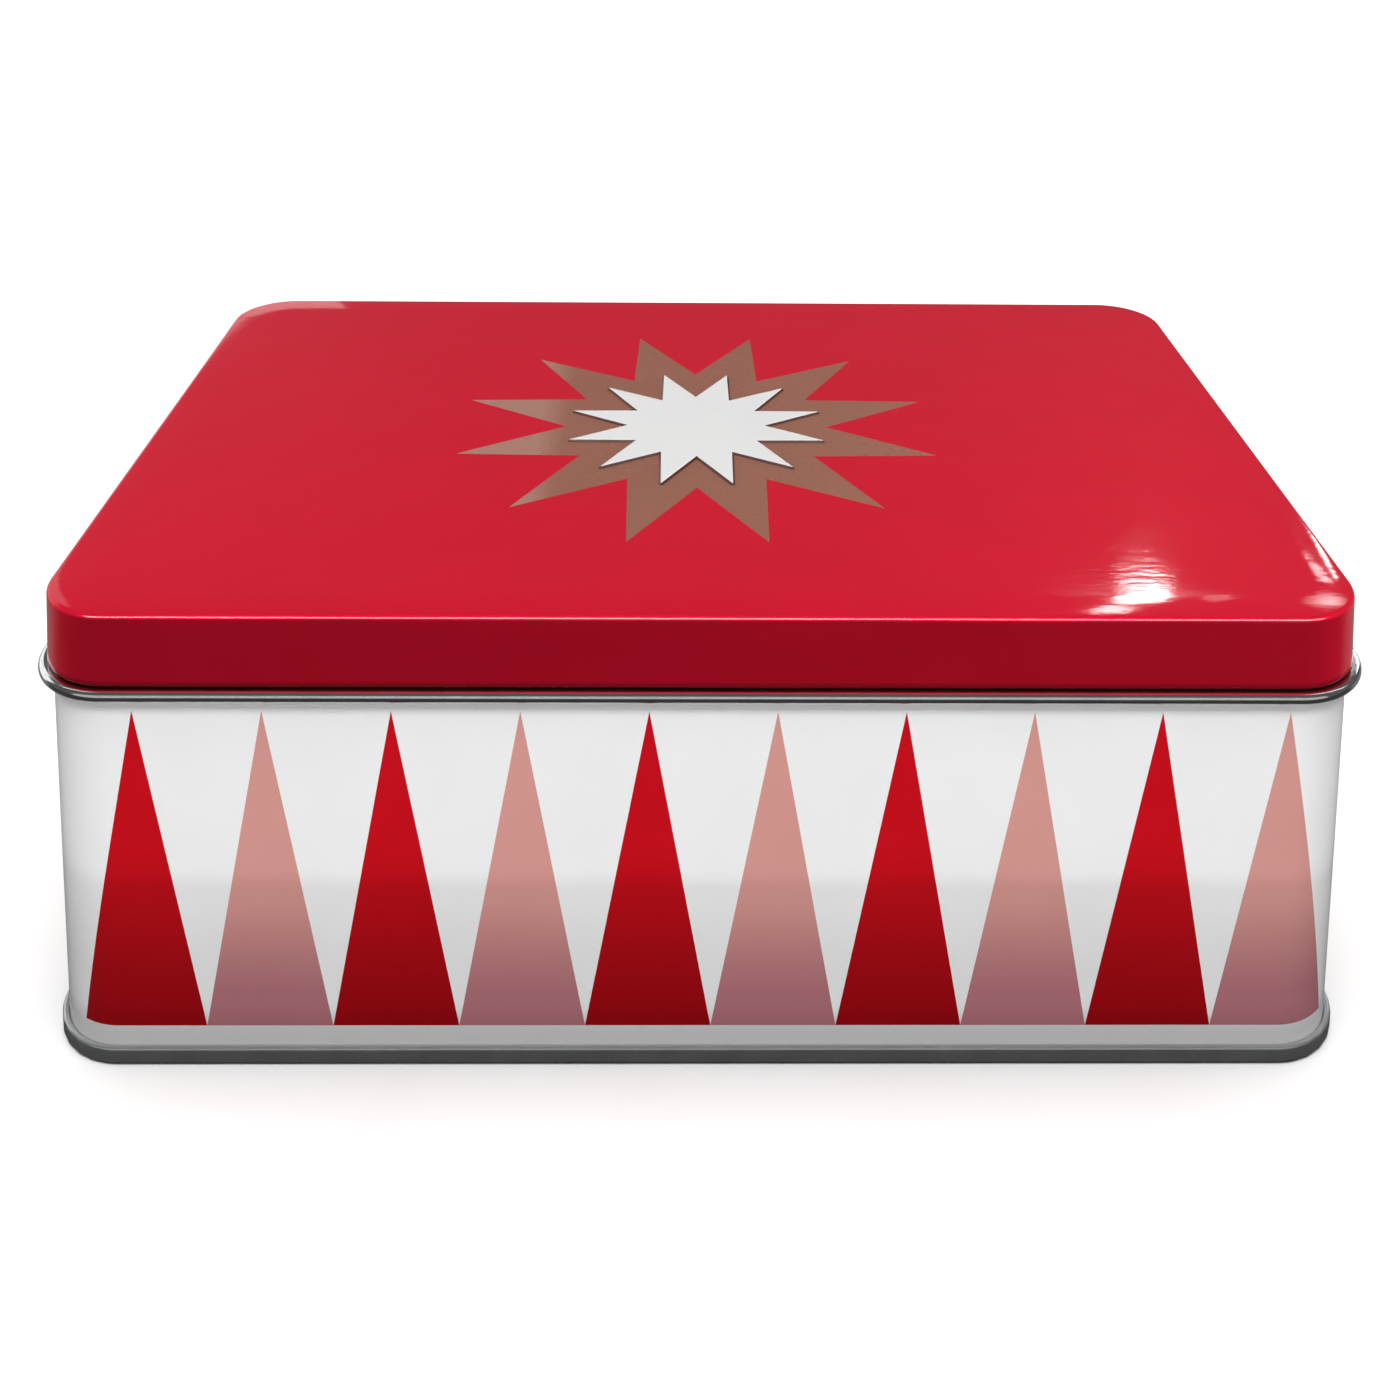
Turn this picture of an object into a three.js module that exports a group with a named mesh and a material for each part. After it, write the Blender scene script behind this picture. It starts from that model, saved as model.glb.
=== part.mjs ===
// A rectangular cookie tin with a lift-off slip lid, made of four pieces of folded tinplate.
// Millimetres, +Z up. The origin is the centre of the base, on the plane that the tin stands on.
// X is the width, Y is the depth and the front is at -Y.
//
// Every piece is a bent sheet carried round the same rounded rectangle. A sheet's section is drawn
// in two coordinates: out, the distance outwards from the outer face of the body wall, and z.
import * as THREE from 'three';
import { mergeVertices } from 'three/addons/utils/BufferGeometryUtils.js';

// Outer face of the body wall, seen from above
const WALL_WIDTH = 200;
const WALL_DEPTH = 129.5;
const WALL_CORNER_RADIUS = 10.9;

// Facets: each corner has this many, and a bend in a section turns in equal steps of at most this
// angle. Points nearer than the merge distance are one point, which closes a skin.
const CORNER_STEPS = 6;
const STEP_DEGREES = 30;
const MERGE_DISTANCE = 1e-4;

// Sheet metal
const SHEET = 0.25;
const HALF_SHEET = SHEET / 2;
const FOLD_GAP = 0.1;
const LAYER = SHEET + FOLD_GAP;

// Lid
const TOP_HEIGHT = 73.85;
const LID_OUT = 0.83;
const SKIRT_DRAFT = 1.7;
const LID_EDGE_HEIGHT = 62.28;
const PANEL_INSET = 9;
const CROWN_WIDTH = 6.5;
const CROWN_ANGLE = 4;
const SHOULDER_RADIUS = 0.65;
const LID_HEM_RADIUS = 0.35;
const LID_HEM_HEIGHT = 1.3;

// Raised star in the lid panel: a regular star, so a smaller copy of it is an even inset
const STAR_POINTS = 12;
const STAR_TIP_RADIUS = 26.2;
const STAR_VALLEY_SHARE = 0.528;
const STAR_CENTRE = new THREE.Vector2(-0.85, -0.33);
const STAR_RISE = 0.4;
const STAR_SLOPE_WIDTH = 0.6;

// Curl round the top of the body wall, which the lid rests on
const CURL_OUT = 2.2;
const CURL_RADIUS = 0.725;
const CURL_TOP_HEIGHT = 62.2;
const CURL_BEND_RADIUS = 0.5;
const CURL_TUCK_RADIUS = 0.45;
const CURL_TUCK_ANGLE = 80;

// Collar inside the mouth
const NECK_LOW = 51.5;
const NECK_TOP = 72;
const NECK_HEM_RADIUS = 0.4;
const NECK_HEM_HEIGHT = 1.2;

// Double seam round the base
const SEAM_HEIGHT = 2.87;
const SEAM_BEND_RADIUS = 0.5;
const WALL_HOOK_TOP = 2.3;
const COVER_HOOK_LOW = 0.95;

// Recessed base
const BASE_HEIGHT = 3.3;
const BASE_BEND_RADIUS = 0.7;
const BASE_SHELF_WIDTH = 4;
const BASE_STEP_RADIUS = 0.6;
const BASE_STEP_ANGLE = 50;
const BASE_RIM_WIDTH = 0.6;

// Lock seam down the middle of the back: the folded layers stand proud on the inside
const LOCK_WIDTH = 5;
const LOCK_RISE = 0.5;
const LOCK_RAMP = 0.4;
const LOCK_LOW = 5;
const LOCK_TOP = 50.5;

const radians = THREE.MathUtils.degToRad;

// Walks a sheet's middle line. Each move is { go } in mm or { turn, radius }, with the turn in
// degrees, anticlockwise when positive. A move may be marked raised, and then the point it ends on
// stands proud where the lock seam is.
function walk(start, heading, moves) {
  let { out, z } = start;
  let angle = radians(heading);
  const path = [{ out, z, angle, raised: false }];
  for (const move of moves) {
    if (move.go !== undefined) {
      out += move.go * Math.cos(angle);
      z += move.go * Math.sin(angle);
      path.push({ out, z, angle, raised: Boolean(move.raised) });
      continue;
    }
    const side = Math.sign(move.turn);
    const centreOut = out - side * move.radius * Math.sin(angle);
    const centreZ = z + side * move.radius * Math.cos(angle);
    const steps = Math.max(1, Math.ceil(Math.abs(move.turn) / STEP_DEGREES));
    for (let i = 0; i < steps; i++) {
      angle += radians(move.turn) / steps;
      out = centreOut + side * move.radius * Math.sin(angle);
      z = centreZ - side * move.radius * Math.cos(angle);
      path.push({ out, z, angle, raised: false });
    }
  }
  return path;
}

// The two faces of a sheet that follows a path: left is on the left of the walk.
function faces(path, lockShare = 0) {
  const side = (sign) => path.map((p) => {
    const proud = sign > 0 && p.raised ? LOCK_RISE * lockShare : 0;
    const reach = sign * HALF_SHEET + proud;
    return { out: p.out - reach * Math.sin(p.angle), z: p.z + reach * Math.cos(p.angle) };
  });
  return { left: side(1), right: side(-1) };
}

// Places round the rounded rectangle, anticlockwise from above: the centre of the corner's arc and
// the outward direction. The back also has the places where the lock seam starts and ends.
function placesRound() {
  const x = WALL_WIDTH / 2 - WALL_CORNER_RADIUS;
  const y = WALL_DEPTH / 2 - WALL_CORNER_RADIUS;
  const corners = [[x, -y], [x, y], [-x, y], [-x, -y]];
  const places = [];
  corners.forEach(([cx, cy], corner) => {
    for (let i = 0; i <= CORNER_STEPS; i++) {
      const angle = (corner - 1 + i / CORNER_STEPS) * Math.PI / 2;
      places.push({ cx, cy, dx: Math.cos(angle), dy: Math.sin(angle), lock: 0 });
    }
    if (corner === 1) {
      const half = LOCK_WIDTH / 2;
      const stops = [[half + LOCK_RAMP, 0], [half, 1], [-half, 1], [-half - LOCK_RAMP, 0]];
      stops.forEach(([cxLock, lock]) => places.push({ cx: cxLock, cy, dx: 0, dy: 1, lock }));
    }
  });
  return places;
}

const PLACES = placesRound();

function at(place, { out, z }) {
  const reach = WALL_CORNER_RADIUS + out;
  return new THREE.Vector3(place.cx + reach * place.dx, place.cy + reach * place.dy, z);
}

// Carries lines of section points round the rectangle. Each place gives its own list of points, and
// the surface faces the right-hand side of the line.
function sweep(linesAt) {
  const rows = PLACES.map((place) => linesAt(place).map((point) => at(place, point)));
  const triangles = [];
  rows.forEach((row, i) => {
    const next = rows[(i + 1) % rows.length];
    for (let j = 0; j + 1 < row.length; j++) {
      triangles.push([row[j], next[j], next[j + 1]], [row[j], next[j + 1], row[j + 1]]);
    }
  });
  return triangles;
}

// A sheet with two free edges, as one closed skin.
function ringOfSheet(path) {
  return sweep((place) => {
    const { left, right } = faces(path, place.lock);
    return [...right, ...left.reverse(), right[0]];
  });
}

// A flat face at one height, inside an outline and round its holes. It faces up or down.
function flatFace(outline, holes, z, up) {
  const loops = [outline, ...holes];
  const points = loops.flat();
  return THREE.ShapeUtils.triangulateShape(outline, holes).map((face) => {
    const [a, b, c] = face.map((i) => points[i]);
    const facesUp = (b.x - a.x) * (c.y - a.y) - (b.y - a.y) * (c.x - a.x) > 0;
    const order = facesUp === up ? [a, b, c] : [a, c, b];
    return order.map((p) => new THREE.Vector3(p.x, p.y, z));
  });
}

function outlineAt(point) {
  return PLACES.map((place) => {
    const v = at(place, point);
    return new THREE.Vector2(v.x, v.y);
  });
}

// The star, moved inwards by an even inset from its full outline.
function starOutline(inset) {
  const valleyRadius = STAR_TIP_RADIUS * STAR_VALLEY_SHARE;
  const half = Math.PI / STAR_POINTS;
  const tip = new THREE.Vector2(STAR_TIP_RADIUS, 0);
  const valley = new THREE.Vector2(valleyRadius * Math.cos(half), valleyRadius * Math.sin(half));
  const edgeDistance = Math.abs(tip.cross(valley)) / tip.distanceTo(valley);
  const scale = (edgeDistance - inset) / edgeDistance;
  const outline = [];
  for (let i = 0; i < 2 * STAR_POINTS; i++) {
    const radius = scale * (i % 2 ? STAR_TIP_RADIUS : valleyRadius);
    const x = STAR_CENTRE.x + radius * Math.cos(i * half);
    const y = STAR_CENTRE.y + radius * Math.sin(i * half);
    outline.push(new THREE.Vector2(x, y));
  }
  return outline;
}

// A band of faces between two outlines with the same number of points, at two heights.
function slope(low, lowZ, high, highZ, up) {
  const triangles = [];
  low.forEach((p, i) => {
    const k = (i + 1) % low.length;
    const a = new THREE.Vector3(p.x, p.y, lowZ);
    const b = new THREE.Vector3(low[k].x, low[k].y, lowZ);
    const c = new THREE.Vector3(high[k].x, high[k].y, highZ);
    const d = new THREE.Vector3(high[i].x, high[i].y, highZ);
    triangles.push(...(up ? [[a, b, c], [a, c, d]] : [[a, c, b], [a, d, c]]));
  });
  return triangles;
}

// One face of the lid's panel with the raised star in it.
function panelFace(edge, starInset, up) {
  const foot = starOutline(starInset);
  const crest = starOutline(starInset + STAR_SLOPE_WIDTH);
  const crestZ = edge.z + STAR_RISE;
  return [
    ...flatFace(outlineAt(edge), [foot], edge.z, up),
    ...slope(foot, edge.z, crest, crestZ, up),
    ...flatFace(crest, [], crestZ, up),
  ];
}

function closedGeometry(triangles) {
  const geometry = new THREE.BufferGeometry().setFromPoints(triangles.flat());
  return mergeVertices(geometry, MERGE_DISTANCE);
}

function lidGeometry() {
  const start = { out: -PANEL_INSET, z: TOP_HEIGHT - HALF_SHEET };
  const crown = radians(CROWN_ANGLE);
  const draft = radians(SKIRT_DRAFT);
  // The skirt leans out by the draft, down to the hem. Its foot is where the hem's bend starts.
  const hemCentreOut = LID_OUT - HALF_SHEET - LID_HEM_RADIUS;
  const hemCentreZ = LID_EDGE_HEIGHT + HALF_SHEET + LID_HEM_RADIUS;
  const footOut = hemCentreOut + LID_HEM_RADIUS * Math.cos(draft);
  const footZ = hemCentreZ + LID_HEM_RADIUS * Math.sin(draft);
  const crownRadius = CROWN_WIDTH / crown;
  const crownDrop = crownRadius * (1 - Math.cos(crown));
  const shoulderDrop = SHOULDER_RADIUS * (Math.cos(crown) - Math.sin(draft));
  const skirtDrop = start.z - crownDrop - shoulderDrop - footZ;
  const crownReach = crownRadius * Math.sin(crown);
  const shoulderReach = SHOULDER_RADIUS * (Math.cos(draft) - Math.sin(crown));
  const skirtReach = skirtDrop * Math.tan(draft);
  const path = walk(start, 0, [
    { go: footOut - skirtReach - shoulderReach - crownReach - start.out },
    { turn: -CROWN_ANGLE, radius: crownRadius },
    { turn: CROWN_ANGLE + SKIRT_DRAFT - 90, radius: SHOULDER_RADIUS },
    { go: skirtDrop / Math.cos(draft) },
    { turn: -180 - SKIRT_DRAFT, radius: LID_HEM_RADIUS },
    { go: LID_HEM_HEIGHT },
  ]);
  const { left, right } = faces(path);
  // An even sheet round the slope: the lower face's star is inset by the mitre of the fold.
  const foldAngle = Math.atan2(STAR_RISE, STAR_SLOPE_WIDTH);
  const mitre = SHEET * Math.tan(foldAngle / 2);
  return closedGeometry([
    ...sweep(() => [...right, ...left.slice().reverse()]),
    ...panelFace(left[0], 0, true),
    ...panelFace(right[0], mitre, false),
  ]);
}

function bodyWallGeometry() {
  const wallOut = -HALF_SHEET;
  const hookOut = wallOut + 2 * LAYER;
  const hookBend = LAYER;
  const hookBendZ = LAYER + HALF_SHEET + hookBend;
  const curlTop = CURL_TOP_HEIGHT - HALF_SHEET;
  const curlCentreOut = CURL_OUT - HALF_SHEET - CURL_RADIUS;
  const bendTop = curlTop - CURL_BEND_RADIUS;
  return closedGeometry(ringOfSheet(walk({ out: hookOut, z: WALL_HOOK_TOP }, -90, [
    { go: WALL_HOOK_TOP - hookBendZ },
    { turn: -180, radius: hookBend },
    { go: LOCK_LOW - hookBendZ },
    { go: LOCK_RAMP, raised: true },
    { go: LOCK_TOP - LOCK_LOW - 2 * LOCK_RAMP, raised: true },
    { go: LOCK_RAMP },
    { go: bendTop - LOCK_TOP },
    { turn: -90, radius: CURL_BEND_RADIUS },
    { go: curlCentreOut - wallOut - CURL_BEND_RADIUS },
    { turn: -180, radius: CURL_RADIUS },
    { go: CURL_TUCK_RADIUS },
    { turn: -CURL_TUCK_ANGLE, radius: CURL_TUCK_RADIUS },
  ])));
}

function neckRingGeometry() {
  const start = { out: -HALF_SHEET - LAYER, z: NECK_LOW };
  const bendZ = NECK_TOP - HALF_SHEET - NECK_HEM_RADIUS;
  return closedGeometry(ringOfSheet(walk(start, 90, [
    { go: bendZ - NECK_LOW },
    { turn: 180, radius: NECK_HEM_RADIUS },
    { go: NECK_HEM_HEIGHT },
  ])));
}

function bottomPanelGeometry() {
  const innerOut = -HALF_SHEET - LAYER;
  const hookOut = innerOut + 2 * LAYER;
  const rimOut = innerOut + 4 * LAYER;
  const coverBend = LAYER;
  const coverBendZ = SEAM_HEIGHT - HALF_SHEET - coverBend;
  const stepAngle = radians(BASE_STEP_ANGLE);
  const stepReach = 2 * BASE_STEP_RADIUS * Math.sin(stepAngle);
  const stepDrop = 2 * BASE_STEP_RADIUS * (1 - Math.cos(stepAngle));
  const shelfZ = BASE_HEIGHT + HALF_SHEET;
  const start = {
    out: innerOut - BASE_BEND_RADIUS - BASE_SHELF_WIDTH - stepReach - BASE_RIM_WIDTH,
    z: shelfZ + stepDrop,
  };
  const path = walk(start, 0, [
    { go: BASE_RIM_WIDTH },
    { turn: -BASE_STEP_ANGLE, radius: BASE_STEP_RADIUS },
    { turn: BASE_STEP_ANGLE, radius: BASE_STEP_RADIUS },
    { go: BASE_SHELF_WIDTH },
    { turn: -90, radius: BASE_BEND_RADIUS },
    { go: shelfZ - BASE_BEND_RADIUS - HALF_SHEET - SEAM_BEND_RADIUS },
    { turn: 90, radius: SEAM_BEND_RADIUS },
    { go: rimOut - innerOut - 2 * SEAM_BEND_RADIUS },
    { turn: 90, radius: SEAM_BEND_RADIUS },
    { go: coverBendZ - HALF_SHEET - SEAM_BEND_RADIUS },
    { turn: 180, radius: coverBend },
    { go: coverBendZ - COVER_HOOK_LOW },
  ]);
  const { left, right } = faces(path);
  return closedGeometry([
    ...sweep(() => [...right, ...left.slice().reverse()]),
    ...flatFace(outlineAt(left[0]), [], left[0].z, true),
    ...flatFace(outlineAt(right[0]), [], right[0].z, false),
  ]);
}

function piece(name, geometry, color, roughness, metalness) {
  const material = new THREE.MeshStandardMaterial({ color, roughness, metalness });
  const mesh = new THREE.Mesh(geometry, material);
  mesh.name = name;
  return mesh;
}

const tin = new THREE.Group();
tin.add(
  piece('lid', lidGeometry(), 0xca2438, 0.2, 0.3),
  piece('body_wall', bodyWallGeometry(), 0xe6e6e6, 0.25, 0.1),
  piece('neck_ring', neckRingGeometry(), 0xc9cacc, 0.3, 1),
  piece('bottom_panel', bottomPanelGeometry(), 0xb8babc, 0.35, 1),
);

export default tin;
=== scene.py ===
"""Cookie tin: the looks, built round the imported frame.

Every piece is a bent sheet of tinplate. Its section is walked out as a middle line, laid out straight
as a long strip, cut along the edges of the print, and then wrapped round the rounded rectangle.
Sections, strips and outlines are in millimetres; meshes, lights and the camera are in metres.
"""

import math

import bmesh
import bpy
import numpy as np
from mathutils import Matrix, Vector
from mathutils.geometry import tessellate_polygon


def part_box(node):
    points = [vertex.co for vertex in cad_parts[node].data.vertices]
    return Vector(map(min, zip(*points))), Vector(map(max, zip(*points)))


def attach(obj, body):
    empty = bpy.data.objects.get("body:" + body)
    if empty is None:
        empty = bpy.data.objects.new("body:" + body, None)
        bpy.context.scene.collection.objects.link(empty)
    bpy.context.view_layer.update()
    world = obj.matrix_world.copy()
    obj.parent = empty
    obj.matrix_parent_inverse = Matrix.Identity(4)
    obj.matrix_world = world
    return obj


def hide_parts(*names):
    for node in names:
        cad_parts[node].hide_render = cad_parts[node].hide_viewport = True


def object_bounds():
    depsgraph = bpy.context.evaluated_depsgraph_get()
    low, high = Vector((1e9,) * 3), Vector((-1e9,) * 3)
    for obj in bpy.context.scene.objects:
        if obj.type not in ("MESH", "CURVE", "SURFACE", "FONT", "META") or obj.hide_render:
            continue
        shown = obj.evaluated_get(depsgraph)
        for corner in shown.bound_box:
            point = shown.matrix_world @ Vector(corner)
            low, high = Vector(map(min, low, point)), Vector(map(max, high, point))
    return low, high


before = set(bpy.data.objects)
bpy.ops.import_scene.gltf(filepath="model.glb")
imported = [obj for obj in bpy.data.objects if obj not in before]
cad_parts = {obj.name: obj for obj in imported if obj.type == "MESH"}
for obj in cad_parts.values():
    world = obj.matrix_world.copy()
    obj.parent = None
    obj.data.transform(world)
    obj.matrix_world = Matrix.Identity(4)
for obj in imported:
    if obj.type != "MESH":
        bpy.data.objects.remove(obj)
CAD_LOW, CAD_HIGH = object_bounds()
MM = 0.001

# ---------------------------------------------------------------- sizes

# Sheet metal, as the frame has it
SHEET = 0.25
HALF_SHEET = SHEET / 2
LAYER = 0.35

# How far the curl stands out from the wall's outer face
CURL_OUT = 2.2
WALL_CORNER_RADIUS = 10.9


def box_mm(node):
    low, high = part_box(node)
    return low / MM, high / MM


WALL_HIGH = box_mm("body_wall")[1]
LID_LOW, LID_HIGH = box_mm("lid")
NECK_LOW, NECK_HIGH = box_mm("neck_ring")

HALF_WIDTH = WALL_HIGH.x - CURL_OUT
HALF_DEPTH = WALL_HIGH.y - CURL_OUT
LID_OUT = LID_HIGH.x - HALF_WIDTH

# Lid
STAR_RISE = 0.4
TOP_HEIGHT = LID_HIGH.z - STAR_RISE
SKIRT_DRAFT = 1.7
PANEL_INSET = 9
CROWN_WIDTH = 6.5
CROWN_ANGLE = 4
SHOULDER_RADIUS = 0.65
LID_HEM_RADIUS = 0.35
LID_HEM_HEIGHT = 1.3

# Star in the lid's panel: the raised white star and the flat copper star round it
STAR_POINTS = 12
STAR_CENTRE = Vector((-0.85, -0.33))
WHITE_TIP_RADIUS = 24.1
WHITE_VALLEY_SHARE = 0.528
COPPER_TIP_RADIUS = 44.6
COPPER_VALLEY_SHARE = 0.542
STAR_FILLET = 0.06
STAR_SLOPE_WIDTH = 0.6
# The slope starts this far outside the white's edge, and that part carries a painted shade in the crease
STAR_FOOT_WIDTH = 0.38

# Curl round the top of the body wall
CURL_RADIUS = 0.725
CURL_TOP_HEIGHT = WALL_HIGH.z
CURL_BEND_RADIUS = 0.5
CURL_TUCK_RADIUS = 0.45
CURL_TUCK_ANGLE = 80

# Collar inside the mouth
NECK_HEM_RADIUS = 0.4
NECK_HEM_HEIGHT = 1.2

# Double seam round the base, and the recessed base
SEAM_HEIGHT = 2.87
SEAM_BEND_RADIUS = 0.5
WALL_HOOK_TOP = 2.3
COVER_HOOK_LOW = 0.95
BASE_HEIGHT = 3.3
BASE_BEND_RADIUS = 0.7
BASE_SHELF_WIDTH = 4
BASE_STEP_RADIUS = 0.6
BASE_STEP_ANGLE = 50
BASE_RIM_WIDTH = 0.6

# Lock seam down the middle of the back: a groove outside, a thick band inside
LOCK_HALF_WIDTH = 2.5
LOCK_RISE = 0.5
LOCK_RAMP = 0.4
LOCK_LOW = 5
LOCK_TOP = 50.5
GROOVE_HALF_WIDTH = 0.22
GROOVE_DEPTH = 0.1

# What the tools leave in the metal: each wave is its height and its length round the wall
MOUTH_PINCH = (0.03, 2.3)
SEAM_RIPPLE = (0.045, 2.6)
SEAM_CORNER_SWELL = 0.05
SEAM_CROSSING_SWELL = 0.12
SKIRT_WAVES = ((0.02, 41, 0), (0.02, 67, 1))
SKIRT_CORNER_WAVE = (0.015, 3.4)

# Printed triangles round the wall: how many stand on the front and back, and on each side, and how wide
TRIANGLES = (10, 6)
PITCHES = (19.3, 18.4)
TRIANGLE_LOW = 5.9
TRIANGLE_TOP = 58.2
PRINT_SHIFT = 1.55

# Painted shade: each ink darkens down the wall between two heights, and the lid's lacquer darkens over its
# hem
RED_PAINTED_SHADE_HEIGHTS = (8, 36)
PINK_PAINTED_SHADE_HEIGHTS = (12, 27)
WHITE_PAINTED_SHADE_HEIGHTS = (5.5, 8.5)
HEM_PAINTED_SHADE_BAND = 1.2

# Painted sheen: the copper star turns lighter toward its left points, between these distances from the middle
PAINTED_SHEEN_FROM = -25
PAINTED_SHEEN_FULL = -30

# Under the gloss coat
INK_ROUGHNESS = 0.4

# Fineness of the meshes
BEND_STEP = 12
CROWN_STEPS = 6
FILLET_STEPS = 6
SLOPE_STEPS = 8
SMALLEST_FILLET = 0.02
CORNER_STEPS = 26
STRAIGHT_STEP = 5
WELD = 1e-6
SHARP_ANGLE = math.radians(50)

# ---------------------------------------------------------------- the way round the wall

STRAIGHT_X = 2 * (HALF_WIDTH - WALL_CORNER_RADIUS)
STRAIGHT_Y = 2 * (HALF_DEPTH - WALL_CORNER_RADIUS)
ARC = WALL_CORNER_RADIUS * math.pi / 2
ROUND = 2 * (STRAIGHT_X + STRAIGHT_Y) + 4 * ARC


def place(s):
    """The corner centre and the outward direction at s millimetres from the front's middle, anticlockwise."""
    x, y = STRAIGHT_X / 2, STRAIGHT_Y / 2
    s = (s + STRAIGHT_X / 2) % ROUND
    sides = (
        (-x, -y, 1, 0, STRAIGHT_X),
        (x, -y, 0, 1, STRAIGHT_Y),
        (x, y, -1, 0, STRAIGHT_X),
        (-x, y, 0, -1, STRAIGHT_Y),
    )
    for px, py, along_x, along_y, length in sides:
        if s <= length:
            return px + s * along_x, py + s * along_y, along_y, -along_x
        s -= length
        if s <= ARC:
            cos, sin = math.cos(s / WALL_CORNER_RADIUS), math.sin(s / WALL_CORNER_RADIUS)
            out_x = along_y * cos + along_x * sin
            out_y = along_y * sin - along_x * cos
            return px + length * along_x, py + length * along_y, out_x, out_y
        s -= ARC
    return -x, -y, 0, -1


def wrapped(s, out, z):
    """A point of a strip, carried to its place round the wall."""
    cx, cy, dx, dy = place(s)
    reach = WALL_CORNER_RADIUS + out
    return Vector((cx + reach * dx, cy + reach * dy, z))


def columns_round():
    """Where a strip's columns stand: fine on the corners, and at the edges of the lock seam."""
    half = ROUND / 2
    edges = [LOCK_HALF_WIDTH + LOCK_RAMP, LOCK_HALF_WIDTH, GROOVE_HALF_WIDTH, GROOVE_HALF_WIDTH / 2]
    stops = [-half] + [-half + e for e in reversed(edges)]
    corner = STRAIGHT_X / 2
    for start in (-corner - 2 * ARC - STRAIGHT_Y, -corner - ARC, corner, corner + ARC + STRAIGHT_Y):
        stops += list(np.linspace(start, start + ARC, CORNER_STEPS + 1))
    stops += [half - e for e in edges] + [half]
    filled = [stops[0]]
    for stop in stops[1:]:
        gap = stop - filled[-1]
        count = max(1, round(gap / STRAIGHT_STEP))
        filled += [filled[-1] + gap * i / count for i in range(1, count)] + [stop]
    return filled


COLUMNS = columns_round()


def seam_distance(s):
    """Distance round the wall from the lock seam, in the middle of the back."""
    return ROUND / 2 - abs(s)


def ramp(value, start, width):
    """0 before start, 1 after start + width, and smooth between."""
    t = min(max((value - start) / width, 0), 1)
    return t * t * (3 - 2 * t)


def corner_share(s):
    """1 in the middle of a corner, falling to 0 on the straights."""
    dx, dy = place(s)[2:]
    return abs(2 * dx * dy)


def wave(s, height, length, phase=0):
    return height * math.sin(2 * math.pi * s / length + phase)


# ---------------------------------------------------------------- bent sheet


def go(length, steps=1):
    return [(length / steps, 0.0)] * steps


def turn(degrees, radius):
    steps = max(1, math.ceil(abs(degrees) / BEND_STEP))
    return [(radius, degrees / steps)] * steps


def walk(out, z, heading, *moves):
    """The middle line of a bent sheet, as rows of (out, z, heading). A positive turn is anticlockwise."""
    angle = math.radians(heading)
    path = [(out, z, angle)]
    for amount, degrees in (step for move in moves for step in move):
        if degrees:
            side = math.copysign(1, degrees)
            centre_out = out - side * amount * math.sin(angle)
            centre_z = z + side * amount * math.cos(angle)
            angle += math.radians(degrees)
            out = centre_out + side * amount * math.sin(angle)
            z = centre_z - side * amount * math.cos(angle)
        else:
            out += amount * math.cos(angle)
            z += amount * math.sin(angle)
        path.append((out, z, angle))
    return path


def face(path, side, extra=0.0):
    """One face of the sheet that follows a path: side is 1 for the left of the walk and -1 for the right."""
    reach = side * (HALF_SHEET + extra)
    return [(out - reach * math.sin(a), z + reach * math.cos(a)) for out, z, a in path]


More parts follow.
